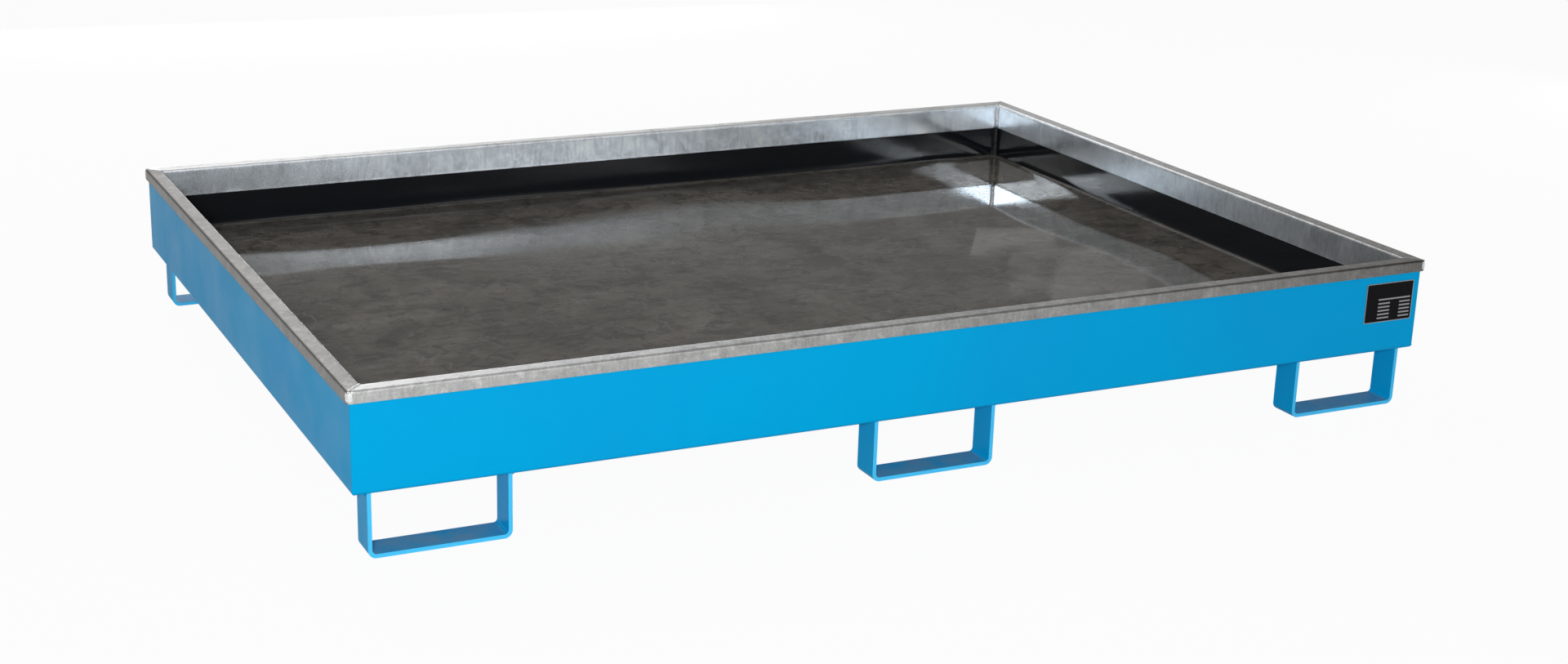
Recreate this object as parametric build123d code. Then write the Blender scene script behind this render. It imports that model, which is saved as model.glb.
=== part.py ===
from build123d import *
import os

# A sump tray for the bottom bay of a pallet rack, in millimetres.
# X runs along the long front side, Y to the back and Z up. The origin is on the floor,
# under the middle of the tray.

# Trough: one folded sheet of steel
trough_length = 1790.0
trough_width = 1300.0
trough_wall = 148.0            # underside of the floor to the top of the walls
trough_sheet = 3.0
trough_fold = 3.0              # inside radius of the folds
seam_root = 0.6                # sheet left behind each corner seam
seam_round = 1.8               # radius ground on the outside of a corner seam

# Feet: flat bar bent into a U and welded under the trough
foot_height = 96.0
foot_length = 206.0
foot_end_inset = 22.0          # trough end to the outer leg
foot_side_inset = 7.0          # trough front or back to the bar's edge
bar_width = 48.0
bar_thickness = 6.0
bar_fold = 6.0                 # inside radius of the bends
foot_bead = 5.0                # leg of the fillet weld beside a leg
foot_bead_stop = 3.0           # bar edge to the end of the fillet weld

# Bearers: folded channels that hold the liner up and stiffen the trough floor
bearer_count = 5
bearer_height = 30.0
bearer_width = 60.0
bearer_sheet = 3.0
bearer_fold = 3.0              # inside radius of the folds
bearer_end_gap = 12.0          # trough wall to the end of a channel
bearer_edge_distance = 190.0   # trough end to the middle of the outermost channel

# Liner: one folded sheet of polyethylene
liner_sheet = 5.0
liner_fold = 4.0               # inside radius of the folds
liner_top_gap = 2.0            # underside of the cap to the liner's edge
liner_bead = 6.0               # leg of the welded strip in a corner
liner_bead_stop = 1.5          # inner flange of the cap to the top of the strip

# Cap frame: folded profiles hooked over the edges of the trough and the liner
cap_sheet = 2.0
cap_fold = 2.0                 # inside radius of the folds
cap_top = 26.0                 # width over both flanges
cap_outer_flange = 18.0
cap_inner_flange = 50.0
cap_trough_gap = 3.0           # trough wall to the outer flange
cap_liner_gap = 0.5            # liner wall to the inner flange
cap_bead = 3.4                 # radius of the weld bead over a mitre
cap_bead_proud = 1.2           # height of that bead above the sheet
cap_inner_bead = 4.5           # radius of the weld bead in the inner corner

# Data plate
plate_width = 95.0
plate_height = 66.0
plate_thickness = 1.0
plate_corner = 2.0
plate_end_distance = 12.0      # trough end to the plate's edge
plate_drop = 14.0              # outer flange to the plate's top edge

# Convex face of a fillet weld, as a share of its leg: 0.5 would be flat
bead_convexity = 0.6

# Places that follow from the sizes above
trough_floor = foot_height + trough_sheet
trough_edge = foot_height + trough_wall
cap_height = trough_edge + cap_sheet
cap_length = trough_length + 2 * (cap_trough_gap + cap_sheet)
cap_width = trough_width + 2 * (cap_trough_gap + cap_sheet)
liner_inset = cap_top - cap_sheet - cap_liner_gap
liner_inner_length = cap_length - 2 * liner_inset
liner_inner_width = cap_width - 2 * liner_inset
liner_base = trough_floor + bearer_height
liner_floor = liner_base + liner_sheet
liner_edge = trough_edge - liner_top_gap


def save(piece, node):
    export_step(piece, f"parts/{node}.step")


def rounded_block(length, width, low, high, radius):
    # Block whose four bottom edges are rounded as folds are, and mitred at the corners
    def bar(plane, breadth, run):
        section = Pos(0, (low + high) / 2) * Rectangle(breadth, high - low)
        lower_corners = section.vertices().group_by(Axis.Y)[0]
        return extrude(plane * fillet(lower_corners, radius), run / 2, both=True)

    return bar(Plane.YZ, width, length) & bar(Plane.XZ, length, width)


def folded_tray(length, width, low, high, sheet, fold):
    # Open tray folded from one sheet, given by its outside sizes
    outside = rounded_block(length, width, low, high, fold + sheet)
    inside = rounded_block(
        length - 2 * sheet, width - 2 * sheet, low + sheet, high + sheet, fold
    )
    return outside - inside


def channel_section(breadth, height, sheet, fold):
    # U of bent sheet or bar, open at the top, standing on the X axis
    outside = Pos(0, height / 2) * Rectangle(breadth, height)
    inside = Pos(0, height / 2 + sheet) * Rectangle(breadth - 2 * sheet, height)
    outside = fillet(outside.vertices().group_by(Axis.Y)[0], fold + sheet)
    inside = fillet(inside.vertices().group_by(Axis.Y)[0], fold)
    return outside - inside


def bead_section(leg):
    # Fillet weld in the corner between +X and +Y
    bulge = bead_convexity * leg
    return make_face(
        [
            Line((0, 0), (leg, 0)),
            ThreePointArc((leg, 0), (bulge, bulge), (0, leg)),
            Line((0, leg), (0, 0)),
        ]
    )


def at_corners(front_left):
    # The same piece at all four corners, with each corner's name
    front_right = mirror(front_left, Plane.YZ)
    return {
        "front_left": front_left,
        "front_right": front_right,
        "back_left": mirror(front_left, Plane.XZ),
        "back_right": mirror(front_right, Plane.XZ),
    }


def make_trough():
    tray = folded_tray(
        trough_length, trough_width, foot_height, trough_edge, trough_sheet, trough_fold
    )
    # The walls stop short of each other at a corner, and the seam fills the groove
    seam_leg = trough_sheet - seam_root
    seam_low = foot_height + trough_sheet + trough_fold
    seam_rise = trough_edge - seam_low
    groove = Pos(-trough_length / 2, -trough_width / 2, seam_low) * Box(
        seam_leg, seam_leg, seam_rise, align=(Align.MIN, Align.MIN, Align.MIN)
    )
    outward = Axis((0, 0, 0), (-1, -1, 0))
    outer_edge = groove.edges().filter_by(Axis.Z).sort_by(outward)[-1]
    seam = fillet(outer_edge, seam_round)
    for opening in at_corners(groove).values():
        tray -= opening
    save(tray, "trough")
    for corner, piece in at_corners(seam).items():
        save(piece, f"trough_weld_{corner}")


def make_feet():
    bar = extrude(
        Plane.XZ * channel_section(foot_length, foot_height, bar_thickness, bar_fold),
        bar_width / 2,
        both=True,
    )
    # Beads run along the outside of both legs, in the angle under the trough floor
    bead_run = bar_width - 2 * foot_bead_stop
    angle = Plane.XZ * Pos(foot_length / 2, foot_height)
    bead = extrude(angle * mirror(bead_section(foot_bead), Plane.XZ), bead_run / 2, both=True)
    beads = Compound([bead, mirror(bead, Plane.YZ)])
    end = trough_length / 2 - foot_end_inset - foot_length / 2
    side = trough_width / 2 - foot_side_inset - bar_width / 2
    for row, y in {"front": -side, "back": side}.items():
        for column, x in {"left": -end, "mid": 0, "right": end}.items():
            save(Pos(x, y) * bar, f"foot_{row}_{column}")
            save(Pos(x, y) * beads, f"foot_welds_{row}_{column}")


def make_bearers():
    section = channel_section(bearer_width, bearer_height, bearer_sheet, bearer_fold)
    run = trough_width - 2 * (trough_sheet + bearer_end_gap)
    upside_down = Plane.XZ * Pos(0, liner_base) * mirror(section, Plane.XZ)
    channel = extrude(upside_down, run / 2, both=True)
    first = bearer_edge_distance - trough_length / 2
    pitch = -2 * first / (bearer_count - 1)
    for index in range(bearer_count):
        save(Pos(first + index * pitch) * channel, f"bearer_{index + 1}")


def make_liner():
    tray = folded_tray(
        liner_inner_length + 2 * liner_sheet,
        liner_inner_width + 2 * liner_sheet,
        liner_base,
        liner_edge,
        liner_sheet,
        liner_fold,
    )
    save(tray, "liner")
    # The strip runs up the inner corner to just below the cap's inner flange
    strip_top = cap_height - cap_inner_flange - liner_bead_stop
    corner = Pos(-liner_inner_length / 2, -liner_inner_width / 2, liner_floor)
    strip = corner * extrude(bead_section(liner_bead), strip_top - liner_floor)
    for name, piece in at_corners(strip - tray).items():
        save(piece, f"liner_weld_{name}")


def cap_rail(run, hollow):
    # Rail of the cap frame along X, with its outer face on the XZ plane and mitred ends
    inner_line = cap_top - cap_sheet
    outline = [(0, 0), (cap_top, 0), (cap_top, -cap_inner_flange)]
    if hollow:
        outline += [(inner_line, -cap_inner_flange), (inner_line, -cap_sheet)]
        outline += [(cap_sheet, -cap_sheet), (cap_sheet, -cap_outer_flange)]
        outline += [(0, -cap_outer_flange)]
    else:
        outline += [(0, -cap_inner_flange)]
    section = make_face(Polyline(outline, close=True))
    levels = section.vertices().group_by(Axis.Y)
    section = fillet(levels[-1], cap_fold + cap_sheet)
    if hollow:
        inner_folds = section.vertices().filter_by(
            lambda point: abs(point.Y + cap_sheet) < cap_sheet / 4
            and cap_sheet / 2 < point.X < cap_top - cap_sheet / 2
        )
        section = fillet(inner_folds, cap_fold)
    bar = extrude(Plane.YZ * Pos(0, cap_height) * section, run / 2, both=True)
    mitre = make_face(
        Polyline(
            (-run / 2, 0),
            (run / 2, 0),
            (run / 2 - cap_top, cap_top),
            (cap_top - run / 2, cap_top),
            close=True,
        )
    )
    return bar & extrude(Pos(0, 0, cap_height) * mitre, -cap_inner_flange)


def make_cap_frame():
    # Each side: its run, its distance from the middle and its turn about Z
    sides = {
        "front": (cap_length, cap_width / 2, 0),
        "right": (cap_width, cap_length / 2, 90),
        "back": (cap_length, cap_width / 2, 180),
        "left": (cap_width, cap_length / 2, 270),
    }
    for side, (run, distance, turn) in sides.items():
        rail = Rot(Z=turn) * Pos(0, -distance) * cap_rail(run, hollow=True)
        save(rail, f"rim_{side}")

    # A bead climbs the outer corner, crosses the top along the mitre and runs down inside
    sunk = cap_bead - cap_bead_proud
    inner_sunk = cap_inner_bead - cap_bead_proud
    outer = Vector(sunk - cap_length / 2, sunk - cap_width / 2, cap_height - sunk)
    across = Vector(cap_top - sunk, cap_top - sunk)
    inner = outer + across + Vector(0, 0, sunk - inner_sunk)
    bead = extrude(Plane(outer) * Circle(cap_bead), sunk - cap_outer_flange)
    bead += extrude(Plane(outer, z_dir=across) * Circle(cap_bead), across.length)
    bead += extrude(Plane(inner) * Circle(cap_inner_bead), inner_sunk - cap_inner_flange)
    bead += Pos(*outer) * Sphere(cap_bead)
    bead += Pos(*inner) * Sphere(cap_inner_bead)
    for side in ("front", "left"):
        run, distance, turn = sides[side]
        bead -= Rot(Z=turn) * Pos(0, -distance) * cap_rail(run, hollow=False)
    for corner, piece in at_corners(bead).items():
        save(piece, f"rim_weld_{corner}")


def make_data_plate():
    x = trough_length / 2 - plate_end_distance - plate_width / 2
    z = cap_height - cap_outer_flange - plate_drop - plate_height / 2
    outline = Pos(x, z) * RectangleRounded(plate_width, plate_height, plate_corner)
    front = Plane.XZ.offset(trough_width / 2)
    save(extrude(front * outline, plate_thickness), "data_plate")


os.makedirs("parts", exist_ok=True)
make_trough()
make_feet()
make_bearers()
make_liner()
make_cap_frame()
make_data_plate()
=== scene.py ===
import math

import bmesh
import bpy
from mathutils import Euler, Matrix, Vector, noise


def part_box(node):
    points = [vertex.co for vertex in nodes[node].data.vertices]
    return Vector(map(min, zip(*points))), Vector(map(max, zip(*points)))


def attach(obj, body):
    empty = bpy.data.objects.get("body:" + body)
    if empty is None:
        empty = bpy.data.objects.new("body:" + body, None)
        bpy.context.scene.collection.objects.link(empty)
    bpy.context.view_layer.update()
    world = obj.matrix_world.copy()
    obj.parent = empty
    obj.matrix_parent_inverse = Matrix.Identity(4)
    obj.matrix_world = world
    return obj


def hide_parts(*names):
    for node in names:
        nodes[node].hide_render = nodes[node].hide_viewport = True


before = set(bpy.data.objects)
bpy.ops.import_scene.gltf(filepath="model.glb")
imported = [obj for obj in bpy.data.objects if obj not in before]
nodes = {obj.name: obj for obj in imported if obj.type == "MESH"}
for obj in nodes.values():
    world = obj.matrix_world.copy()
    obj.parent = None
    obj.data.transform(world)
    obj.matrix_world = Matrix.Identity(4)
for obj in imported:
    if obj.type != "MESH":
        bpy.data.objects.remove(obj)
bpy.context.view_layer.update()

mm = 0.001


def put(tree, kind, inputs=None, **settings):
    # adds a node, sets its properties, then fills or wires its inputs
    node = tree.nodes.new(kind)
    for name, value in settings.items():
        setattr(node, name, value)
    for name, value in (inputs or {}).items():
        feed(node.inputs[name], value)
    return node


def feed(socket, value):
    if isinstance(value, bpy.types.NodeSocket):
        socket.id_data.links.new(value, socket)
    else:
        socket.default_value = value


def calculate(kind, operation, terms):
    # a node that works on the terms, in the tree that the first wired one belongs to
    wired = next(term for term in terms if isinstance(term, bpy.types.NodeSocket))
    node = put(wired.id_data, kind, operation=operation)
    for socket, term in zip(node.inputs, terms):
        feed(socket, term)
    return node


def maths(operation, *terms):
    return calculate("ShaderNodeMath", operation, terms).outputs[0]


def plus(first, second):
    return maths("ADD", first, second)


def minus(first, second):
    return maths("SUBTRACT", first, second)


def times(first, second):
    return maths("MULTIPLY", first, second)


def over(first, second):
    return maths("DIVIDE", first, second)


def larger(first, second):
    return maths("MAXIMUM", first, second)


def smaller(first, second):
    return maths("MINIMUM", first, second)


def gap(value, middle):
    # distance to a middle value, on either side
    return maths("ABSOLUTE", minus(value, middle))


def vectorMaths(operation, *terms, scale=None):
    node = calculate("ShaderNodeVectorMath", operation, terms)
    if scale is not None:
        feed(node.inputs["Scale"], scale)
    return node.outputs["Value" if operation in ("DOT_PRODUCT", "LENGTH") else "Vector"]


def vector(tree, x=0.0, y=0.0, z=0.0):
    return put(tree, "ShaderNodeCombineXYZ", {0: x, 1: y, 2: z}).outputs[0]


def parts(value):
    # x, y and z of a vector
    return put(value.id_data, "ShaderNodeSeparateXYZ", {0: value}).outputs


def spread(value, low, high, toLow=0.0, toHigh=1.0, smooth=False):
    # maps low..high onto toLow..toHigh and stops at the ends
    node = put(value.id_data, "ShaderNodeMapRange", {
        "Value": value, "From Min": low, "From Max": high, "To Min": toLow, "To Max": toHigh,
    })
    node.interpolation_type = "SMOOTHSTEP" if smooth else "LINEAR"
    return node.outputs[0]


def blend(factor, first, second):
    node = put(factor.id_data, "ShaderNodeMix", {0: factor, 2: first, 3: second})
    return node.outputs[0]


def blendColour(factor, first, second, mode="MIX"):
    return put(factor.id_data, "ShaderNodeMix", {
        0: factor, 6: first, 7: second,
    }, data_type="RGBA", blend_type=mode).outputs[2]


def speckle(place, scale, detail=3.0, rough=0.5, warp=0.0):
    return put(place.id_data, "ShaderNodeTexNoise", {
        "Vector": place, "Scale": scale, "Detail": detail, "Roughness": rough, "Distortion": warp,
    }).outputs[0]


def cellShade(place, scale, channel):
    # one chance value for each cell of a crystal pattern
    tree = place.id_data
    cells = put(tree, "ShaderNodeTexVoronoi", {"Vector": place, "Scale": scale})
    return put(tree, "ShaderNodeSeparateColor", {0: cells.outputs["Color"]}).outputs[channel]


def stretch(place, scale, turn=(0, 0, 0)):
    return put(place.id_data, "ShaderNodeMapping", {
        "Vector": place, "Scale": scale, "Rotation": turn,
    }).outputs[0]


def carried(tree, name):
    # a value that the mesh carries, read in its material
    return put(tree, "ShaderNodeAttribute", attribute_name=name).outputs["Fac"]


def bump(shader, height, distance):
    node = put(shader.id_data, "ShaderNodeBump", {"Height": height, "Distance": distance})
    feed(shader.inputs["Normal"], node.outputs[0])
    return node


def dress(shader, colour, rough, specular=0.5):
    feed(shader.inputs["Base Color"], colour)
    feed(shader.inputs["Roughness"], rough)
    shader.inputs["Specular IOR Level"].default_value = specular


def startMaterial(name):
    # empty material with a Principled shader; Object coordinates are in metres
    material = bpy.data.materials.new(name)
    material.use_nodes = True
    tree = material.node_tree
    tree.nodes.clear()
    shader = put(tree, "ShaderNodeBsdfPrincipled")
    out = put(tree, "ShaderNodeOutputMaterial")
    tree.links.new(shader.outputs[0], out.inputs[0])
    place = put(tree, "ShaderNodeTexCoord").outputs["Object"]
    return material, tree, shader, place


def makeMottled(name, look):
    # a material whose tone, roughness and relief follow one pattern
    material, _, shader, place = startMaterial(name)
    pattern = stretch(place, look["perMetre"])
    pattern = speckle(pattern, 1.0, detail=look["detail"])
    rough = spread(pattern, 0.3, 0.7, *look["roughness"])
    dress(shader, blendColour(pattern, *look["tones"]), rough, look["specular"])
    if "relief" in look:
        shader.inputs["Metallic"].default_value = look["metallic"]
        bump(shader, pattern, look["relief"])
    return material


def startTree(name, inputs):
    # Geometry Nodes tree with named inputs; returns the input sockets by name
    tree = bpy.data.node_groups.new(name, "GeometryNodeTree")
    tree.interface.new_socket("Geometry", in_out="INPUT", socket_type="NodeSocketGeometry")
    for label, kind in inputs.items():
        tree.interface.new_socket(label, in_out="INPUT", socket_type="NodeSocket" + kind)
    tree.interface.new_socket("Geometry", in_out="OUTPUT", socket_type="NodeSocketGeometry")
    return tree, put(tree, "NodeGroupInput").outputs


def endTree(tree, geometry, finish):
    real = put(tree, "GeometryNodeRealizeInstances", {0: geometry}).outputs[0]
    painted = put(tree, "GeometryNodeSetMaterial", {"Geometry": real, "Material": finish})
    tree.links.new(painted.outputs[0], put(tree, "NodeGroupOutput").inputs[0])


def placeOf(tree):
    return put(tree, "GeometryNodeInputPosition").outputs[0]


def facingOf(tree):
    return put(tree, "GeometryNodeInputNormal").outputs[0]


def stored(tree, name, kind="FLOAT"):
    return put(tree, "GeometryNodeInputNamedAttribute", {"Name": name}, data_type=kind).outputs[0]


def store(geometry, name, value, kind="FLOAT"):
    return put(geometry.id_data, "GeometryNodeStoreNamedAttribute", {
        "Geometry": geometry, "Name": name, "Value": value,
    }, data_type=kind, domain="POINT").outputs[0]


def move(geometry, **change):
    return put(geometry.id_data, "GeometryNodeSetPosition", {
        "Geometry": geometry, **change,
    }).outputs[0]


def push(geometry, direction, distance):
    return move(geometry, Offset=vectorMaths("SCALE", direction, scale=distance))


def join(*pieces):
    node = put(pieces[0].id_data, "GeometryNodeJoinGeometry")
    for piece in pieces:
        feed(node.inputs[0], piece)
    return node.outputs[0]


def unevenness(seed, scale, detail=2.0):
    # noise from about -0.5 to 0.5 that changes with the seed
    node = put(seed.id_data, "ShaderNodeTexNoise", {
        "W": seed, "Scale": scale, "Detail": detail, "Roughness": 0.55,
    }, noise_dimensions="4D")
    return minus(node.outputs[0], 0.5)


def grow(name, tree, values, start=None):
    # runs a tree on an object and keeps the result as a plain mesh
    piece = bpy.data.objects.new(name, start or bpy.data.meshes.new(name))
    growth = piece.modifiers.new(tree.name, "NODES")
    growth.node_group = tree
    for socket in tree.interface.items_tree:
        if socket.in_out == "INPUT" and socket.name in values:
            growth[socket.identifier] = values[socket.name]
    bpy.context.scene.collection.objects.link(piece)
    graph = bpy.context.evaluated_depsgraph_get()
    mesh = bpy.data.meshes.new_from_object(
        piece.evaluated_get(graph), preserve_all_data_layers=True, depsgraph=graph
    )
    piece.modifiers.clear()
    piece.data = mesh
    mesh.name = name
    return piece


def meshFrom(name, shape):
    mesh = bpy.data.meshes.new(name)
    shape.to_mesh(mesh)
    shape.free()
    return mesh


def objectFrom(name, mesh):
    piece = bpy.data.objects.new(name, mesh)
    bpy.context.scene.collection.objects.link(piece)
    return piece


camera = {
    "standsAt": (-1.651, -3.391, 1.232),
    "turn": 25.0,                  # degrees from +Y towards +X
    "tilt": 17.7,                  # degrees below level
    "roll": 1.27,
    "lens": 52.2,
    "sensor": 36.0,
    "sideShift": 0.0456,
    "seesTo": 100.0,
}


def makeCamera():
    data = bpy.data.cameras.new("camera")
    data.lens = camera["lens"]
    data.sensor_width = camera["sensor"]
    data.shift_x = camera["sideShift"]
    data.clip_end = camera["seesTo"]
    eye = objectFrom("camera", data)
    turn = Matrix.Rotation(math.radians(-camera["turn"]), 4, "Z")
    tilt = Matrix.Rotation(math.radians(90 - camera["tilt"]), 4, "X")
    roll = Matrix.Rotation(math.radians(camera["roll"]), 4, "Z")
    eye.matrix_world = Matrix.Translation(camera["standsAt"]) @ turn @ tilt @ roll
    bpy.context.scene.camera = eye


makeCamera()
print("camera set")


studio = {
    "skyTop": 0.21,                # grey of the room overhead
    "skyFade": (0.04, 0.24),       # heights between which white turns to that grey
    "floorColour": (0.62, 0.62, 0.62, 1),
    "floorShade": 0.985,           # its darker patches
    "floorPatches": 3.0,           # to the metre
    "floorRoughness": 0.9,
    "floorGlow": 0.955,            # share of the floor that always shows white
    "floorReach": 40,              # metres from middle to edge
    "floorDrop": 0.4 * mm,         # below the feet
    "lamps": {
        # name: where it stands, the point it faces, width, height, watts
        "frontSoftbox": ((1.35, -4.4, 0.85), (0.0, 0.0, 0.18), 1.8, 0.7, 13),
        "keyLamp": ((-2.17, -4.21, 1.675), (0.3, 0.2, 0.18), 0.70, 0.54, 132),
        "backSoftbox": ((-0.9, 2.9, 2.9), (0, 0, 0.1), 2.6, 1.6, 39),
        "rightFill": ((3.4, 0.2, 0.30), (0.9, 0.0, 0.15), 2.2, 0.4, 24),
        "backFill": ((0.3, 3.4, 0.30), (0.0, 0.65, 0.15), 2.6, 0.4, 24),
        "farPanelHigh": ((4.38, 5.2, 2.08), (0.5, -0.2, 0.13), 0.42, 0.12, 0.03),
        "farPanelMid": ((4.13, 5.2, 1.94), (0.5, -0.2, 0.13), 0.40, 0.08, 0.02),
        "farPanelLow": ((3.87, 5.2, 1.75), (0.5, -0.2, 0.13), 0.34, 0.14, 0.03),
    },
}


def makeRoom():
    world = bpy.data.worlds.new("room")
    bpy.context.scene.world = world
    world.use_nodes = True
    tree = world.node_tree
    tree.nodes.clear()
    direction = put(tree, "ShaderNodeTexCoord").outputs["Generated"]
    height = parts(direction)[2]
    level = spread(height, *studio["skyFade"], 1.0, studio["skyTop"], smooth=True)
    sky = put(tree, "ShaderNodeBackground", {"Color": (1, 1, 1, 1), "Strength": level})
    tree.links.new(sky.outputs[0], put(tree, "ShaderNodeOutputWorld").inputs[0])


def makeLamps():
    for name, (spot, target, width, height, watts) in studio["lamps"].items():
        data = bpy.data.lights.new(name, "AREA")
        data.shape = "RECTANGLE"
        data.size = width
        data.size_y = height
        data.energy = watts
        lamp = objectFrom(name, data)
        aim = (Vector(target) - Vector(spot)).to_track_quat("-Z", "Y")
        lamp.matrix_world = Matrix.Translation(spot) @ aim.to_matrix().to_4x4()
        lamp.visible_camera = False


def makeFloorPaint():
    # a matt pale floor that shows white to the camera and in reflections
    material, tree, shader, place = startMaterial("studioFloorPaint")
    shade = speckle(place, studio["floorPatches"])
    colour = studio["floorColour"]
    darker = tuple(channel * studio["floorShade"] for channel in colour[:3]) + (1,)
    colour = blendColour(shade, colour, darker)
    dress(shader, colour, studio["floorRoughness"], specular=0.0)
    rays = put(tree, "ShaderNodeLightPath").outputs
    seen = larger(rays["Is Camera Ray"], rays["Is Glossy Ray"])
    seen = larger(seen, rays["Is Transmission Ray"])
    glow = put(tree, "ShaderNodeEmission")
    mix = put(tree, "ShaderNodeMixShader", {0: times(seen, studio["floorGlow"])})
    tree.links.new(shader.outputs[0], mix.inputs[1])
    tree.links.new(glow.outputs[0], mix.inputs[2])
    out = next(node for node in tree.nodes if node.type == "OUTPUT_MATERIAL")
    tree.links.new(mix.outputs[0], out.inputs[0])
    return material


def makeFloor():
    shape = bmesh.new()
    bmesh.ops.create_grid(shape, x_segments=4, y_segments=4, size=studio["floorReach"])
    bmesh.ops.translate(shape, verts=shape.verts, vec=(0, 0, -studio["floorDrop"]))
    floor = objectFrom("studioFloor", meshFrom("studioFloor", shape))
    floor.data.materials.append(makeFloorPaint())


bpy.context.scene.view_settings.view_transform = "Standard"
makeRoom()
makeLamps()
makeFloor()
print("studio set")


bluePaint = {
    "colour": (0.0, 0.36, 0.69, 1),
    "thin": (0.003, 0.320, 0.66, 1),
    "edge": (0.09, 0.60, 0.98, 1),        # painted highlight on the cut edges of the feet
    "edgeHighlightShare": 0.75,
    "dust": (0.22, 0.33, 0.42, 1),        # on what faces upward
    "dustShare": (0.15, 0.60),            # where there is least and most of it
    "gloss": (0.30, 0.40),
    "specular": 0.03,
    "peel": 0.04 * mm,                    # depth of the orange peel
    # patterns, to the metre
    "clouds": 2.2,
    "dustPatches": 26.0,
    "glossPatches": 14.0,
    "peelGrain": 330.0,
}


def makeBluePaint(name, dustAndEdgeHighlight):
    material, tree, shader, place = startMaterial(name)
    cloud = spread(speckle(place, bluePaint["clouds"], detail=2.0), 0.35, 0.7)
    colour = blendColour(cloud, bluePaint["colour"], bluePaint["thin"])
    if dustAndEdgeHighlight:
        facing = parts(put(tree, "ShaderNodeNewGeometry").outputs["Normal"])
        # painted highlight on the faces that look front or back, the cut edges of the bars
        edge = maths("ABSOLUTE", facing[1])
        edge = spread(edge, 0.6, 0.9, 0.0, bluePaint["edgeHighlightShare"])
        colour = blendColour(edge, colour, bluePaint["edge"])
        patchy = speckle(place, bluePaint["dustPatches"], detail=5.0)
        patchy = spread(patchy, 0.3, 0.65, *bluePaint["dustShare"])
        settled = times(spread(facing[2], 0.8, 0.98), patchy)
        colour = blendColour(settled, colour, bluePaint["dust"])
    gloss = speckle(place, bluePaint["glossPatches"])
    gloss = spread(gloss, 0.3, 0.7, *bluePaint["gloss"])
    dress(shader, colour, gloss, bluePaint["specular"])
    peel = speckle(place, bluePaint["peelGrain"], detail=1.0)
    bump(shader, peel, bluePaint["peel"])
    return material


bluePowderCoat = makeBluePaint("bluePowderCoat", False)
footPowderCoat = makeBluePaint("footPowderCoat", True)
print("blue paint mixed")


zinc = {
    "shade": (0.39, 0.395, 0.39, 1),      # outer flange, darkened as painted shade
    "bend": (0.72, 0.715, 0.71, 1),       # outer bend, a painted highlight
    "deck": (0.96, 0.97, 0.98, 1),        # top, lightened as a painted highlight
    "innerBendHighlight": (0.95, 0.96, 0.97, 1),      # inner bend, a painted highlight
    "inside": (0.77, 0.84, 0.91, 1),      # inner flange, lightened as a painted highlight
    # where these tones lie across the profile: 0 at its outer edge, 1 at its inner one
    "stops": (
        (0.0, "shade"), (0.155, "shade"), (0.200, "bend"), (0.245, "deck"),
        (0.405, "deck"), (0.455, "innerBendHighlight"), (0.500, "inside"), (1.0, "inside"),
    ),
    "dullAndShaded": (0.32, 0.305, 0.29, 1),       # multiplies the tones where the zinc is dull, as painted shade
    "weld": (0.74, 0.735, 0.72, 1),
    "metallic": 0.8,
    # how much each pattern adds to the brightness, and its range after that
    "facetShare": 0.10,
    "cloudShare": 1.1,
    "streakShare": 0.5,
    "brightness": (0.66, 1.36),
    # what else brightens the outer side and the top: pale splashes, painted sparkle and painted
    # glints
    "splashLift": 0.42,
    "flashLift": 0.14,
    "glintLift": 0.5,
    "crease": (0.19, 0.035, 0.75),        # darker line along the outer bend: its middle, half width and strength
    "outerRoughness": (0.38, 0.62),
    "innerRoughness": (0.19, 0.26),
    "dullRoughness": 0.12,                # added to the inner one
    "weldRoughness": (0.36, 0.20),
    "relief": 0.06 * mm,
    "weldRelief": 0.16 * mm,
    # patterns, to the metre
    "crystals": 110.0,
    "clouds": 17.0,
    "streaks": (190.0, 2.5),              # to the metre along, and over the whole profile
    "splashes": 75.0,
    "flashes": 420.0,
    "glints": 1100.0,
    "grain": 1500.0,
    "grit": 420.0,
    "weldGrit": 900.0,
}


def zincTones(place, shader):
    # crystal faces and soft clouds, shared by the rails and the welds
    facet = cellShade(place, zinc["crystals"], 0)
    cloud = speckle(place, zinc["clouds"], detail=6.0, rough=0.68, warp=0.9)
    shader.inputs["Metallic"].default_value = zinc["metallic"]
    return facet, cloud


# the tones across the profile are painted shade on the outer flange and painted highlights on the
# bends, top and inner flange
def toneRamp(tree, across):
    ramp = put(tree, "ShaderNodeValToRGB", {0: across})
    marks = ramp.color_ramp.elements
    while len(marks) < len(zinc["stops"]):
        marks.new(0.5)
    for mark, (spot, tone) in zip(marks, zinc["stops"]):
        mark.position = spot
        mark.color = zinc[tone]
    return ramp.outputs[0]


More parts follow.
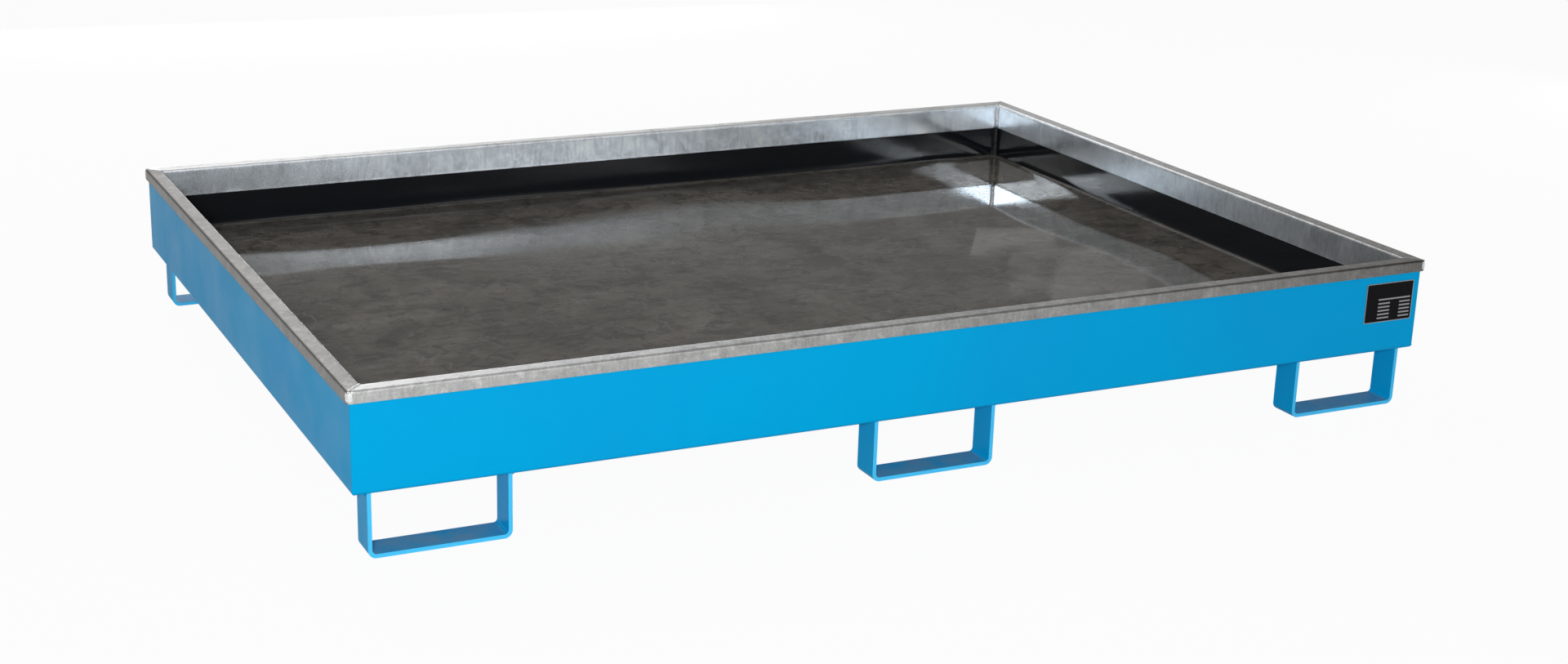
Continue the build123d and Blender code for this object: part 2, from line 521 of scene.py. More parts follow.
def makeZinc():
    material, tree, shader, place = startMaterial("galvanised")
    facet, cloud = zincTones(place, shader)
    across, along, dullingAndShade = (carried(tree, name) for name in ("across", "along", "dullingAndShade"))
    tones = toneRamp(tree, across)
    perMetre, perProfile = zinc["streaks"]
    streak = vector(tree, times(along, perMetre), times(across, perProfile))
    streak = speckle(streak, 1.0, detail=2.0)
    light = times(facet, zinc["facetShare"])
    light = plus(light, times(cloud, zinc["cloudShare"]))
    light = plus(light, times(streak, zinc["streakShare"]))
    light = spread(light, 0.5, 1.15, *zinc["brightness"])
    # pale splashes, painted sparkle on single crystals and painted glints on the outer side and the
    # top
    splash = speckle(place, zinc["splashes"], detail=5.0, rough=0.65, warp=0.5)
    splash = spread(splash, 0.54, 0.72, 0.0, zinc["splashLift"])
    flash = cellShade(place, zinc["flashes"], 1)
    flash = spread(flash, 0.80, 0.98, 0.0, zinc["flashLift"])
    glint = speckle(place, zinc["glints"], detail=3.0)
    glint = spread(glint, 0.50, 0.75, 0.0, zinc["glintLift"])
    extra = plus(plus(splash, flash), glint)
    outer = spread(across, 0.46, 0.50, 1.0, 0.0)
    light = plus(light, times(extra, outer))
    # where the zinc is dull, it is darker along its outer bend
    middle, halfWidth, strength = zinc["crease"]
    crease = spread(gap(across, middle), 0.0, halfWidth, strength, 0.0)
    light = times(light, minus(1.0, times(crease, dullingAndShade)))
    # painted shade where the zinc is dull
    colour = blendColour(dullingAndShade, tones, zinc["dullAndShaded"], mode="MULTIPLY")
    colour = vectorMaths("SCALE", colour, scale=light)
    # rough outside, polished inside
    grain = speckle(place, zinc["grain"], detail=2.0, rough=0.6)
    rough = spread(grain, 0.46, 0.60, *zinc["outerRoughness"])
    polished = spread(grain, 0.40, 0.60, *zinc["innerRoughness"])
    polished = plus(polished, times(dullingAndShade, zinc["dullRoughness"]))
    inner = spread(across, 0.48, 0.53)
    rough = blend(inner, rough, polished)
    dress(shader, colour, rough)
    grit = speckle(place, zinc["grit"], detail=4.0, rough=0.65)
    relief = bump(shader, plus(grit, times(streak, 0.4)), zinc["relief"])
    tree.links.new(spread(across, 0.44, 0.50, 1.0, 0.15), relief.inputs["Strength"])
    return material


def makeZincWeld():
    material, tree, shader, place = startMaterial("galvanisedWeld")
    facet, cloud = zincTones(place, shader)
    tone = spread(plus(times(facet, 0.3), cloud), 0.35, 0.85)
    colour = blendColour(tone, zinc["inside"], zinc["weld"])
    # painted shade where the zinc is dull
    colour = blendColour(carried(tree, "dullingAndShade"), colour, zinc["dullAndShaded"], mode="MULTIPLY")
    dress(shader, colour, spread(cloud, 0.3, 0.7, *zinc["weldRoughness"]))
    grit = speckle(place, zinc["weldGrit"], detail=4.0, rough=0.7)
    bump(shader, grit, zinc["weldRelief"])
    return material


galvanised = makeZinc()
galvanisedWeld = makeZincWeld()
print("zinc mixed")


capFrame = {
    # inputs of the tree that all four rails share
    "rail": {
        "Outer Flange": 18 * mm,
        "Sheet": 2 * mm,
        "Bend Radius": 4 * mm,     # outside radius
        "Step Along": 6 * mm,
        "Step Across": 1 * mm,
        "Coat": 0.03 * mm,         # unevenness of the zinc on the faces
        "Edge Coat": 0.8 * mm,     # and on the free edges
        "Burr Size": 0.75 * mm,
        "Burr Density": 26000.0,   # to the square metre where they gather
        "Corner Radius": 6.5 * mm,
    },
    "sharpFrom": 1.0,              # radians from which an edge looks sharp
    "edgeBand": 3.5 * mm,          # width of the strip with the thicker coat
    "coatLumps": 150.0,            # to the metre
    "coatLift": 0.12,              # how far the lumps stand out more than in
    "burrGrades": (0.35, 1.0),     # smallest and largest, as shares of their size
    "burrShape": (1.3, 0.75),      # length and height, as shares of the width
    "burrBand": 2.5 * mm,          # width of the strip of burrs along a free edge
    "burrLine": (0.125, 0.035),    # strip under the outer bend: middle and half width
    "burrLineShare": 0.55,
    "burrPatches": 16.0,           # to the metre
    "burrsInside": 0.2,            # share of the burrs on the inner side
    "seed": 3,
    # dulling and painted shade at a rail's two ends, counter-clockwise seen from above
    "dullingAndShade": {
        "front": (0.0, 1.0), "right": (0.85, 0.0), "back": (0.0, 0.15), "left": (0.95, 0.85),
    },
}


def foldSheet(tree, given):
    # a flat grid bent round the profile, and the length of the profile
    run, bend = given["Run"], given["Bend Radius"]
    arc = times(bend, math.pi / 2)
    rise = minus(given["Outer Flange"], bend)
    deck = minus(given["Top Width"], times(bend, 2.0))
    drop = minus(given["Inner Flange"], bend)
    toDeck = plus(rise, arc)
    toBend = plus(toDeck, deck)
    toDrop = plus(toBend, arc)
    girth = plus(toDrop, drop)

    def count(length, step):
        return plus(maths("ROUND", over(length, step)), 1.0)

    grid = put(tree, "GeometryNodeMeshGrid", {
        "Size X": run, "Size Y": 1.0,
        "Vertices X": count(run, given["Step Along"]),
        "Vertices Y": count(girth, given["Step Across"]),
    }).outputs[0]
    x, y, _ = parts(placeOf(tree))
    walked = times(plus(y, 0.5), girth)
    progress = plus(over(x, run), 0.5)
    # dulling and painted shade, from one end of the rail to the other
    dullingAndShade = spread(progress, 0.0, 1.0, given["Dull And Shade Start"], given["Dull And Shade End"])
    sheet = store(grid, "across", over(walked, girth))
    sheet = store(sheet, "along", x)
    sheet = store(sheet, "dullingAndShade", dullingAndShade)

    def stretchOf(start, length):
        # how much of this stretch of the profile has been walked
        gone = minus(walked, start)
        return smaller(larger(gone, 0.0), length)

    def bendOf(start):
        # sideways and upward parts of a quarter turn, as shares of the radius
        angle = over(stretchOf(start, arc), bend)
        return minus(1.0, maths("COSINE", angle)), maths("SINE", angle)

    firstIn, firstUp = bendOf(rise)
    secondDown, secondIn = bendOf(toBend)
    depth = times(plus(firstIn, secondIn), bend)
    depth = plus(depth, stretchOf(toDeck, deck))
    level = times(minus(firstUp, secondDown), bend)
    level = minus(level, given["Outer Flange"])
    level = plus(level, stretchOf(0.0, rise))
    level = minus(level, stretchOf(toDrop, drop))
    return move(sheet, Position=vector(tree, x, depth, level)), girth


def thicken(tree, skin, sheet):
    # a second skin behind the first, joined to it along the edges
    inward = put(tree, "GeometryNodeExtrudeMesh", {
        "Mesh": skin, "Offset Scale": times(sheet, -1.0), "Individual": False,
    }, mode="FACES").outputs[0]
    inward = put(tree, "GeometryNodeFlipFaces", {0: inward}).outputs[0]
    return put(tree, "GeometryNodeMergeByDistance", {
        "Geometry": join(inward, skin), "Distance": 0.02 * mm,
    }).outputs[0]


def shapeEnds(tree, given, shell):
    # mitres at both ends
    run, radius = given["Run"], given["Corner Radius"]
    x, y, z = parts(placeOf(tree))
    shorter = minus(1.0, over(times(y, 2.0), run))
    shell = move(shell, Position=vector(tree, times(x, shorter), y, z))
    # what stands outside the rounding of a corner is drawn back onto it
    x, y, z = parts(placeOf(tree))
    reach = minus(times(run, 0.5), radius)
    pastEnd = larger(minus(maths("ABSOLUTE", x), reach), 0.0)
    pastSide = larger(minus(radius, y), 0.0)
    away = vectorMaths("LENGTH", vector(tree, pastEnd, pastSide))
    excess = larger(minus(away, radius), 0.0)
    excess = over(excess, larger(away, 0.01 * mm))
    endward = times(maths("SIGN", x), pastEnd)
    back = vector(tree, times(endward, -1.0), pastSide)
    return push(shell, back, excess)


def coatWithZinc(tree, given, shell, fromEdge):
    # thin on the faces, thick and lumpy along the free edges
    nearEdge = spread(fromEdge, 0.0, capFrame["edgeBand"], 1.0, 0.0, smooth=True)
    thick = plus(given["Coat"], times(nearEdge, given["Edge Coat"]))
    lumps = unevenness(given["Seed"], capFrame["coatLumps"], 3.0)
    lumps = plus(lumps, capFrame["coatLift"])
    return push(shell, facingOf(tree), times(lumps, thick))


def scatterBurrs(tree, given, shell, across, fromEdge):
    # burrs gather along both free edges and just under the outer bend
    gather = spread(fromEdge, 0.0, capFrame["burrBand"], 1.0, 0.0)
    middle, halfWidth = capFrame["burrLine"]
    underBend = gap(across, middle)
    underBend = spread(underBend, 0.0, halfWidth, capFrame["burrLineShare"], 0.0)
    patchy = unevenness(given["Seed"], capFrame["burrPatches"])
    patchy = spread(patchy, -0.05, 0.16)
    crowd = times(larger(gather, underBend), patchy)
    outside = maths("LESS_THAN", across, 0.3)
    inside = capFrame["burrsInside"]
    crowd = times(crowd, plus(times(outside, 1 - inside), inside))
    points = put(tree, "GeometryNodeDistributePointsOnFaces", {
        "Mesh": shell, "Density": times(crowd, given["Burr Density"]), "Seed": given["Seed"],
    }).outputs
    burr = put(tree, "GeometryNodeMeshIcoSphere", {
        "Radius": given["Burr Size"], "Subdivisions": 1,
    }).outputs[0]
    least, most = capFrame["burrGrades"]
    size = put(tree, "FunctionNodeRandomValue", {2: least, 3: most, "Seed": given["Seed"]})
    size = size.outputs[1]
    longer, flatter = capFrame["burrShape"]
    return put(tree, "GeometryNodeInstanceOnPoints", {
        "Points": points["Points"], "Instance": burr, "Rotation": points["Rotation"],
        "Scale": vector(tree, times(size, longer), size, times(size, flatter)),
    }).outputs[0]


def makeRailTree():
    # a folded rail along X, set at its distance from the middle and turned to its side
    sizes = (
        "Run", "Top Width", "Outer Flange", "Inner Flange", "Sheet", "Bend Radius",
        "Step Along", "Step Across", "Coat", "Edge Coat", "Burr Size", "Burr Density",
        "Corner Radius", "Dull And Shade Start", "Dull And Shade End", "Stand Off", "Height", "Turn",
    )
    tree, given = startTree("foldedRail", {
        **dict.fromkeys(sizes, "Float"), "Seed": "Int", "Finish": "Material",
    })
    skin, girth = foldSheet(tree, given)
    shell = thicken(tree, skin, given["Sheet"])
    shell = shapeEnds(tree, given, shell)
    across = stored(tree, "across")
    fromEdge = times(smaller(across, minus(1.0, across)), girth)
    shell = coatWithZinc(tree, given, shell, fromEdge)
    burrs = scatterBurrs(tree, given, shell, across, fromEdge)
    rail = join(burrs, shell)
    aside = vector(tree, 0.0, times(given["Stand Off"], -1.0), given["Height"])
    rail = put(tree, "GeometryNodeTransform", {"Geometry": rail, "Translation": aside})
    rail = put(tree, "GeometryNodeTransform", {
        "Geometry": rail.outputs[0], "Rotation": vector(tree, 0.0, 0.0, given["Turn"]),
    }).outputs[0]
    rail = put(tree, "GeometryNodeSetShadeSmooth", {"Geometry": rail}).outputs[0]
    angle = put(tree, "GeometryNodeInputMeshEdgeAngle").outputs[0]
    sharp = maths("GREATER_THAN", angle, capFrame["sharpFrom"])
    rail = put(tree, "GeometryNodeSetShadeSmooth", {
        "Geometry": rail, "Selection": sharp, "Shade Smooth": False,
    }, domain="EDGE").outputs[0]
    endTree(tree, rail, given["Finish"])
    return tree


def makeCapFrame():
    tree = makeRailTree()
    turns = {"front": 0, "right": 90, "back": 180, "left": 270}
    for index, (side, turn) in enumerate(turns.items()):
        low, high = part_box("rim_" + side)
        size = high - low
        alongX = side in ("front", "back")
        dullAndShadeStart, dullAndShadeEnd = capFrame["dullingAndShade"][side]
        piece = grow("capRail_" + side, tree, {
            **capFrame["rail"],
            "Run": size.x if alongX else size.y,
            "Top Width": size.y if alongX else size.x,
            "Inner Flange": size.z,
            "Dull And Shade Start": dullAndShadeStart,
            "Dull And Shade End": dullAndShadeEnd,
            "Stand Off": max(abs(low.y), high.y) if alongX else max(abs(low.x), high.x),
            "Height": high.z,
            "Turn": math.radians(turn),
            "Seed": capFrame["seed"] + index,
            "Finish": galvanised,
        })
        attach(piece, "cap_frame_body")
        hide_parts("rim_" + side)


makeCapFrame()
print("cap frame made")


polyethylene = {
    "black": (0.006, 0.007, 0.009, 1),
    "thinDust": (0.076, 0.068, 0.057, 1),
    "thickDust": (0.188, 0.174, 0.152, 1),
    "pale": (0.23, 0.22, 0.20, 1),        # rubbed into the dust
    "dark": (0.030, 0.028, 0.024, 1),     # where the dust was wiped away
    "fleckShare": 0.32,
    "smearShare": 0.45,
    # brush strokes: shift of the pattern, its scale across and up, strength, tone
    "strokes": (
        (0.9, (3.0, 50.0, 1.0), 0.25, "pale"), (2.1, (3.0, 60.0, 1.0), 0.25, "pale"),
        (1.1, (14.0, 34.0, 1.0), 0.45, "dark"), (2.5, (24.0, 70.0, 1.0), 0.40, "dark"),
    ),
    # thin crooked marks: their scale, that of the patches they lie in, strength, tone
    "marks": ((4.0, 7.0, 0.55, "pale"), (6.5, 9.0, 0.6, "dark"), (11.0, 5.0, 0.4, "pale")),
    "markWidth": 0.012,
    "wallRoughness": (0.07, 0.11),
    "floorRoughness": (0.03, 0.07),
    "foldRoughness": 1.8,                 # dirt in the fold, between wall and floor
    "wallSpecular": 0.3,
    "floorSpecular": 0.6,
    # dull stretch across the floor: its middle, half width at full strength and at none
    "scuffed": (-0.02, 0.20, 0.46),
    "scuffedRoughness": 0.10,
    "scuffedEdge": 0.08,                  # how far its edges wander
    # patterns, to the metre
    "clouds": 8.0,
    "flecks": 30.0,
    "smears": 19.0,
    "broad": 2.3,
}
weldRod = {
    "tones": ((0.010, 0.010, 0.012, 1), (0.030, 0.030, 0.034, 1)),
    "roughness": (0.25, 0.4),
    "specular": 0.5,
    "perMetre": (120, 120, 120),
    "detail": 3.0,
}


def layDust(place, cloud, fleck):
    look = polyethylene
    cloud = spread(cloud, 0.32, 0.68)
    dust = blendColour(cloud, look["thinDust"], look["thickDust"])
    fleck = spread(fleck, 0.53, 0.62, 0, look["fleckShare"])
    dust = blendColour(fleck, dust, look["pale"])
    smear = speckle(place, look["smears"], detail=8.0, rough=0.72, warp=0.9)
    smear = spread(smear, 0.53, 0.59, 0, look["smearShare"])
    dust = blendColour(smear, dust, look["dark"])
    for shift, scale, strength, tone in look["strokes"]:
        brushed = stretch(place, scale, (0.0, 0.0, shift))
        stroke = speckle(brushed, 1.0, detail=5.0, rough=0.65, warp=0.6)
        stroke = spread(stroke, 0.57, 0.68, 0.0, strength)
        dust = blendColour(stroke, dust, look[tone])
    for scale, patches, strength, tone in look["marks"]:
        crooked = speckle(place, scale, detail=6.0, rough=0.55, warp=1.6)
        thin = spread(gap(crooked, 0.5), 0.0, look["markWidth"], 1.0, 0.0)
        here = speckle(place, patches, detail=3.0)
        here = spread(here, 0.48, 0.62, 0.0, strength)
        dust = blendColour(times(thin, here), dust, look[tone])
    return dust


def makePe(name, specular):
    # black and glossy where the mesh carries no film, dusty where it does
    look = polyethylene
    material, tree, shader, place = startMaterial(name)
    film = carried(tree, "film")
    cloud = speckle(place, look["clouds"], detail=8.0, rough=0.66, warp=0.7)
    fleck = speckle(place, look["flecks"], detail=6.0, rough=0.7, warp=0.5)
    dust = layDust(place, cloud, fleck)
    colour = blendColour(film, look["black"], dust)
    middle, halfFull, halfNone = look["scuffed"]
    sideways = gap(parts(place)[0], middle)
    wander = spread(cloud, 0.3, 0.7, -look["scuffedEdge"], look["scuffedEdge"])
    sideways = plus(sideways, wander)
    scuffed = spread(sideways, halfFull, halfNone, look["scuffedRoughness"], 0.0, smooth=True)
    broad = speckle(place, look["broad"], detail=3.0, warp=0.5)
    floorRough = spread(broad, 0.48, 0.66, *look["floorRoughness"])
    floorRough = plus(floorRough, scuffed)
    wallRough = spread(fleck, 0.3, 0.7, *look["wallRoughness"])
    rough = blend(film, wallRough, floorRough)
    fold = times(times(film, minus(1.0, film)), look["foldRoughness"])
    dress(shader, colour, plus(rough, fold), specular)
    return material


blackPe = makePe("blackPe", polyethylene["wallSpecular"])
dustyPe = makePe("dustyPe", polyethylene["floorSpecular"])
peRod = makeMottled("peWeldRod", weldRod)
print("polyethylene mixed")


liner = {
    "sheet": 5 * mm,
    "fold": 4 * mm,                # inside radius
    "foldSteps": 5,
    "wallSteps": 10,
    "cell": 12 * mm,
    "calm": 90 * mm,               # floor near the walls that stays level
    "flatSpot": (0.72, 0.42, 0.20, 0.60),  # level patch: its middle, its radius, its outer edge
    "wave": 3.2 * mm,
    "waveLength": 0.50,
    "waveLift": 0.55,              # how far the waves stand up more than down
    "waves": (
        # share, steps along x and y to the wavelength, and where in the noise they start
        (1.0, 0.8, 1.1, (3.1, 7.7, 0.4)),
        (0.35, 2.1, 2.4, (1.3, 2.2, 5.1)),
    ),
    "humps": (
        # broad swells: middle, radius, height
        (-0.58, 0.16, 0.44, 6.5 * mm),
        (0.12, 0.56, 0.40, 5.0 * mm),
    ),
    "wallBow": 0.5 * mm,
    "bowPattern": (3.0, 6.0),      # to the metre along a wall and up it
}


def ease(share):
    share = max(0.0, min(1.0, share))
    return share * share * (3 - 2 * share)


def swell(x, y, inward):
    # slow swells of the floor, level along the walls and on the flat spot
    perMetre = 1 / liner["waveLength"]
    wave = 0.0
    for share, stepX, stepY, (startX, startY, startZ) in liner["waves"]:
        spot = Vector((x * perMetre * stepX + startX, y * perMetre * stepY + startY, startZ))
        wave += share * noise.noise(spot)
    rise = liner["wave"] * (wave + liner["waveLift"])
    for humpX, humpY, radius, height in liner["humps"]:
        rise += height * math.exp(-((x - humpX) ** 2 + (y - humpY) ** 2) / (radius / 2) ** 2)
    spotX, spotY, inner, outer = liner["flatSpot"]
    away = (math.hypot(x - spotX, y - spotY) - inner) / (outer - inner)
    return ease((inward - liner["fold"]) / liner["calm"]) * ease(away) * rise


def gridFaces(shape, rows, finish=0):
    # quads between rows of vertices, first row to last
    for lower, upper in zip(rows, rows[1:]):
        for index in range(len(lower) - 1):
            face = shape.faces.new((lower[index], lower[index + 1], upper[index + 1], upper[index]))
            face.material_index = finish
            face.smooth = True


def makeLiner():
    low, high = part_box("liner")
    sheet, fold = liner["sheet"], liner["fold"]
    halfX = high.x - sheet
    halfY = high.y - sheet
    floorZ = low.z + sheet
    shape = bmesh.new()
    film = shape.verts.layers.float.new("film")

    def evenly(half):
        count = max(2, round(2 * half / liner["cell"]))
        return [-half + 2 * half * i / count for i in range(count + 1)]

    xs = evenly(halfX - fold)
    ys = evenly(halfY - fold)
    floorRows = []
    for y in ys:
        row = []
        for x in xs:
            inward = min(halfX - abs(x), halfY - abs(y))
            vertex = shape.verts.new((x, y, floorZ + swell(x, y, inward)))
            vertex[film] = 1.0
            row.append(vertex)
        floorRows.append(row)
    gridFaces(shape, floorRows, finish=1)

    # rows of a wall climb from the floor's edge round the fold to the top
    profile = []
    for step in range(liner["foldSteps"] + 1):
        angle = math.pi / 2 * step / liner["foldSteps"]
        profile.append((fold * (1 - math.sin(angle)), floorZ + fold * (1 - math.cos(angle))))
    wallRise = high.z - floorZ - fold
    for step in range(1, liner["wallSteps"] + 1):
        profile.append((0.0, floorZ + fold + wallRise * step / liner["wallSteps"]))
    stepsAlong, stepsUp = liner["bowPattern"]

    def wall(run, half, turn):
        rows = []
        for depth, z in profile:
            share = max(0.0, (z - floorZ) / (high.z - floorZ))
            bow = liner["wallBow"] * math.sin(math.pi * share) ** 2
            line = []
            for along in run:
                # the mitre: a row further out is longer
                x = along * (abs(run[0]) + fold - depth) / abs(run[0])
                out = bow * noise.noise(Vector((x * stepsAlong, turn, z * stepsUp)))
                point = Vector((x, -(half - depth) - abs(out), z))
                point.rotate(Euler((0, 0, math.radians(turn))))
                vertex = shape.verts.new(point)
                vertex[film] = max(0.0, 1.0 - (z - floorZ) / fold) ** 2
                line.append(vertex)
            rows.append(line)
        gridFaces(shape, rows[::-1])

    wall(xs, halfY, 0)
    wall(xs, halfY, 180)
    wall(ys, halfX, 90)
    wall(ys, halfX, 270)
    bmesh.ops.remove_doubles(shape, verts=shape.verts, dist=0.2 * mm)
    bmesh.ops.recalc_face_normals(shape, faces=shape.faces)
    middle = min(shape.faces, key=lambda face: face.calc_center_median().xy.length)
    if middle.normal.z < 0:
        bmesh.ops.reverse_faces(shape, faces=shape.faces)
    piece = objectFrom("linerSheet", meshFrom("linerSheet", shape))
    piece.data.materials.append(blackPe)
    piece.data.materials.append(dustyPe)
    solid = piece.modifiers.new("thickness", "SOLIDIFY")
    solid.thickness = sheet
    solid.offset = -1.0
    solid.use_even_offset = True
    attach(piece, "liner_body")
    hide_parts("liner")


makeLiner()
print("liner made")


beads = {
    "step": 0.45 * mm,
    "sides": 20,
    "open": 9 * mm,                # wider than any bead, so its front isn't cut off
    "lumps": 260.0,                # to the metre
    "seeds": {"cap": 11, "liner": 21, "foot": 31},
}
capWeld = {
    "radius": 6.0 * mm,
    "insideRadius": 3.6 * mm,
    "pitch": 3.1 * mm,
    "ripple": 0.05,
    "lump": 1.5 * mm,
    # a bead's back is how far it may reach behind its line
    "outer": {"sunk": 5.5 * mm, "above": 0.4 * mm, "below": 0.3 * mm, "back": 2.0 * mm},
    "mitre": {
        "past": 1.0 * mm, "sunk": 2.6 * mm, "back": -0.8 * mm, "front": 2.95 * mm, "size": 0.62,
    },
    "inner": {"out": 1.0 * mm, "under": 1.5 * mm, "above": 1.0 * mm, "back": 1.0 * mm},
    # dulling and painted shade of each corner weld
    "dullingAndShade": {"front_left": 0.0, "front_right": 0.45, "back_left": 0.1, "back_right": 0.0},
}
footWeld = {
    "radius": 3.6 * mm,
    "out": 1.5 * mm,
    "back": 1.4 * mm,
    "stop": 3 * mm,                # bar edge to the end of the bead
    "pitch": 2.2 * mm,
    "ripple": 0.13,
    "lump": 0.5 * mm,
}
linerWeld = {
    "radius": 3.4 * mm,
    "out": 1.6 * mm,
    "back": 1.4 * mm,
    "start": 1.5 * mm,             # above the liner's floor
    "top": 194.5 * mm,
    "pitch": 4.5 * mm,
    "ripple": 0.06,
    "lump": 0.4 * mm,
}


def makeBeadTree():
    # a weld bead along each line of the start mesh. Its points carry the way the bead faces,
    # how far it may reach behind and before the line, and its size
    tree, given = startTree("weldBead", {
        "Radius": "Float", "Pitch": "Float", "Ripple": "Float", "Lump": "Float",
        "Step": "Float", "Sides": "Int", "Seed": "Int", "Finish": "Material",
    })
    line = put(tree, "GeometryNodeMeshToCurve", {0: given["Geometry"]}).outputs[0]
    line = put(tree, "GeometryNodeResampleCurve", {
        "Curve": line, "Length": given["Step"],
    }, mode="LENGTH").outputs[0]
    line = store(line, "middle", placeOf(tree), "FLOAT_VECTOR")
    # round ends, and a ripple of overlapping coins of metal
    gone = put(tree, "GeometryNodeSplineParameter").outputs["Length"]
    whole = put(tree, "GeometryNodeSplineLength").outputs["Length"]
    toEnd = smaller(gone, minus(whole, gone))
    dome = spread(over(toEnd, given["Radius"]), 0.0, 1.0, 0.95, 0.0)
    dome = maths("SQRT", minus(1.0, times(dome, dome)))
    coin = maths("FRACT", over(gone, given["Pitch"]))
    coin = minus(1.0, times(times(coin, coin), given["Ripple"]))
    size = times(times(dome, coin), stored(tree, "size"))
    ring = put(tree, "GeometryNodeCurvePrimitiveCircle", {
        "Resolution": given["Sides"], "Radius": given["Radius"],
    }).outputs[0]
    tube = put(tree, "GeometryNodeCurveToMesh", {
        "Curve": line, "Profile Curve": ring, "Scale": size, "Fill Caps": True,
    }).outputs[0]
    lumps = times(unevenness(given["Seed"], beads["lumps"], 3.0), given["Lump"])
    tube = push(tube, facingOf(tree), lumps)
    # the back and the front are pressed flat where they reach too far
    outward = stored(tree, "outward", "FLOAT_VECTOR")
    middle = stored(tree, "middle", "FLOAT_VECTOR")
    fromLine = vectorMaths("SUBTRACT", placeOf(tree), middle)
    out = vectorMaths("DOT_PRODUCT", fromLine, outward)
    behind = minus(times(stored(tree, "back"), -1.0), out)
    tube = push(tube, outward, larger(0.0, behind))
    before = minus(stored(tree, "reach"), out)
    tube = push(tube, outward, smaller(0.0, before))
    smooth = put(tree, "GeometryNodeSetShadeSmooth", {"Geometry": tube}).outputs[0]
    endTree(tree, smooth, given["Finish"])
    return tree


def beadLines(name, lines, dullingAndShade):
    # each line: its two ends, the way it faces, reach of its back and front, and its size
    shape = bmesh.new()
    outward = shape.verts.layers.float_vector.new("outward")
    back = shape.verts.layers.float.new("back")
    reach = shape.verts.layers.float.new("reach")
    scale = shape.verts.layers.float.new("size")
    dullAndShaded = shape.verts.layers.float.new("dullingAndShade")
    for points, facing, behind, before, size in lines:
        ends = [shape.verts.new(point) for point in points]
        for vertex in ends:
            vertex[outward] = Vector(facing).normalized()
            vertex[back] = behind
            vertex[reach] = before
            vertex[scale] = size
            vertex[dullAndShaded] = dullingAndShade
        shape.edges.new(ends)
    return meshFrom(name, shape)


def growBead(name, tree, lines, look, seed, finish, body, node, dullingAndShade=0.0):
    piece = grow(name, tree, {
        "Radius": look["radius"], "Pitch": look["pitch"], "Ripple": look["ripple"],
        "Lump": look["lump"], "Step": beads["step"], "Sides": beads["sides"],
        "Seed": seed, "Finish": finish,
    }, beadLines(name, lines, dullingAndShade))
    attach(piece, body)
    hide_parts(node)


def capWeldLines(sideX, sideY):
    # down the outer corner, over the top along the mitre, and down the inner corner
    frameLow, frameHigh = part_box("rim_front")
    top = frameHigh.z
    halfX = frameHigh.x
    halfY = -frameLow.y
    width = frameHigh.y - frameLow.y
    outer, mitre, inner = capWeld["outer"], capWeld["mitre"], capWeld["inner"]
    x = sideX * (halfX - outer["sunk"])
    y = sideY * (halfY - outer["sunk"])
    inX = sideX * (halfX - width - inner["out"])
    inY = sideY * (halfY - width - inner["out"])
    mitreZ = top - mitre["sunk"]
    return [
        ([(x, y, top + outer["above"]),
          (x, y, top - capFrame["rail"]["Outer Flange"] - outer["below"])],
         (sideX, sideY, 0), outer["back"], beads["open"], 1.0),
        ([(x + sideX * mitre["past"], y + sideY * mitre["past"], mitreZ), (inX, inY, mitreZ)],
         (0, 0, 1), mitre["back"], mitre["front"], mitre["size"]),
        ([(inX, inY, top - inner["under"]), (inX, inY, frameLow.z + inner["above"])],
         (-sideX, -sideY, 0), inner["back"], beads["open"],
         capWeld["insideRadius"] / capWeld["radius"]),
    ]


def linerWeldLines(sideX, sideY):
    low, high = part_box("liner")
    x = sideX * (high.x - liner["sheet"] - linerWeld["out"])
    y = sideY * (high.y - liner["sheet"] - linerWeld["out"])
    start = low.z + liner["sheet"] + linerWeld["start"]
    return [
        ([(x, y, start), (x, y, linerWeld["top"])],
         (-sideX, -sideY, 0), linerWeld["back"], beads["open"], 1.0),
    ]


def footWeldLines(foot):
    # along the outside of both legs, under the trough
    low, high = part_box(foot)
    z = high.z - footWeld["out"]
    lines = []
    for sideX, x in ((-1, low.x), (1, high.x)):
        x += sideX * footWeld["out"]
        lines.append((
            [(x, low.y + footWeld["stop"], z), (x, high.y - footWeld["stop"], z)],
            (sideX, 0, -1), footWeld["back"], beads["open"], 1.0,
        ))
    return lines


def makeWelds():
    tree = makeBeadTree()
    seeds = beads["seeds"]
    corners = {
        "front_left": (-1, -1), "front_right": (1, -1), "back_left": (-1, 1), "back_right": (1, 1),
    }
    for index, (corner, sides) in enumerate(corners.items()):
        growBead("capWeld_" + corner, tree, capWeldLines(*sides), capWeld, seeds["cap"] + index,
                 galvanisedWeld, "cap_frame_body", "rim_weld_" + corner,
                 capWeld["dullingAndShade"][corner])
        growBead("linerWeld_" + corner, tree, linerWeldLines(*sides), linerWeld,
                 seeds["liner"] + index, peRod, "liner_body", "liner_weld_" + corner)
    feet = [
        name for name in nodes if name.startswith("foot_") and not name.startswith("foot_welds")
    ]
    for index, foot in enumerate(sorted(feet)):
        place = foot[len("foot_"):]
        growBead("footWeld_" + place, tree, footWeldLines(foot), footWeld, seeds["foot"] + index,
                 bluePowderCoat, "trough_body", "foot_welds_" + place)


makeWelds()
print("welds made")


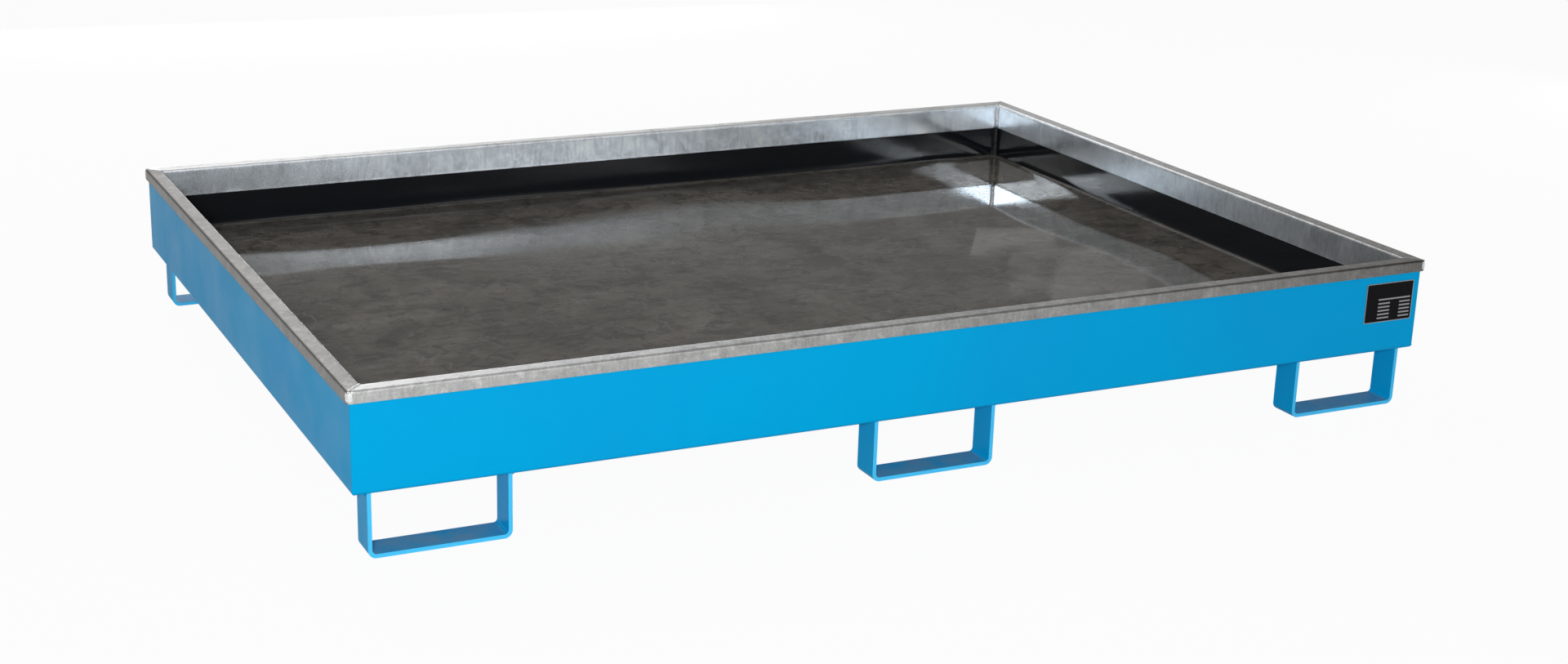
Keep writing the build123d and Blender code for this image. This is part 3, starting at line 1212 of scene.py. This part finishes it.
dataPlate = {
    "corner": 2 * mm,
    "cornerSteps": 6,
    "border": 1.3 * mm,
    "enamel": 0.12 * mm,           # thickness of the black layer
    "field": 0.12 * mm,
    "softEdge": 0.05 * mm,
    "fields": [
        # blank bars: left, right, bottom, top as shares of the plate
        (0.27, 0.95, 0.560, 0.600),
        *[(0.27, 0.52, 0.09 + row * 0.092, 0.13 + row * 0.092) for row in range(5)],
        *[(0.72, 0.95, 0.09 + row * 0.092, 0.13 + row * 0.092) for row in range(5)],
    ],
}
plateMetal = {
    "tones": ((0.20, 0.20, 0.21, 1), (0.32, 0.32, 0.33, 1)),
    "roughness": (0.35, 0.50),
    "specular": 0.5,
    "perMetre": (60, 60, 2600),    # brushed from side to side
    "detail": 3.0,
    "metallic": 0.9,
    "relief": 0.02 * mm,
}
plateEnamel = {
    "tones": ((0.002, 0.002, 0.003, 1), (0.005, 0.005, 0.006, 1)),
    "roughness": (0.30, 0.42),
    "specular": 0.05,
    "perMetre": (90, 90, 90),
    "detail": 4.0,
}


def slab(shape, left, right, bottom, top, back, front, corner, finish):
    # closed rounded plate that faces -Y
    steps = dataPlate["cornerSteps"]
    outline = []
    for cornerX, cornerZ, start in (
        (right - corner, top - corner, 0), (left + corner, top - corner, 90),
        (left + corner, bottom + corner, 180), (right - corner, bottom + corner, 270),
    ):
        for step in range(steps + 1):
            angle = math.radians(start + step * 90 / steps)
            x = cornerX + corner * math.cos(angle)
            outline.append((x, cornerZ + corner * math.sin(angle)))
    near = [shape.verts.new((x, front, z)) for x, z in outline]
    far = [shape.verts.new((x, back, z)) for x, z in outline]
    faces = [shape.faces.new(near), shape.faces.new(far[::-1])]
    for index in range(len(outline)):
        following = (index + 1) % len(outline)
        faces.append(shape.faces.new((near[following], near[index], far[index], far[following])))
    for face in faces:
        face.material_index = finish


def makeDataPlate():
    low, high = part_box("data_plate")
    size = high - low
    look = dataPlate
    shape = bmesh.new()
    slab(shape, low.x, high.x, low.z, high.z, high.y, low.y, look["corner"], 0)
    inset = look["border"]
    face = low.y - look["enamel"]
    slab(shape, low.x + inset, high.x - inset, low.z + inset, high.z - inset,
         low.y + 0.3 * mm, face, look["corner"] - inset / 2, 1)
    for left, right, bottom, top in look["fields"]:
        slab(shape, low.x + left * size.x, low.x + right * size.x,
             low.z + bottom * size.z, low.z + top * size.z,
             low.y, face - look["field"], 0.5 * mm, 0)
    bmesh.ops.recalc_face_normals(shape, faces=shape.faces)
    piece = objectFrom("dataPlate", meshFrom("dataPlate", shape))
    piece.data.materials.append(makeMottled("plateMetal", plateMetal))
    piece.data.materials.append(makeMottled("plateEnamel", plateEnamel))
    edge = piece.modifiers.new("edge", "BEVEL")
    edge.width = look["softEdge"]
    edge.segments = 1
    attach(piece, "trough_body")
    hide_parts("data_plate")


makeDataPlate()
print("data plate made")


for name, node in nodes.items():
    finish = bluePowderCoat
    if name.startswith("rim"):
        finish = galvanisedWeld
    elif name.startswith("foot"):
        finish = footPowderCoat
    elif name.startswith("liner"):
        finish = blackPe
    for holder in node.material_slots:
        holder.material = finish
print("CAD nodes painted")
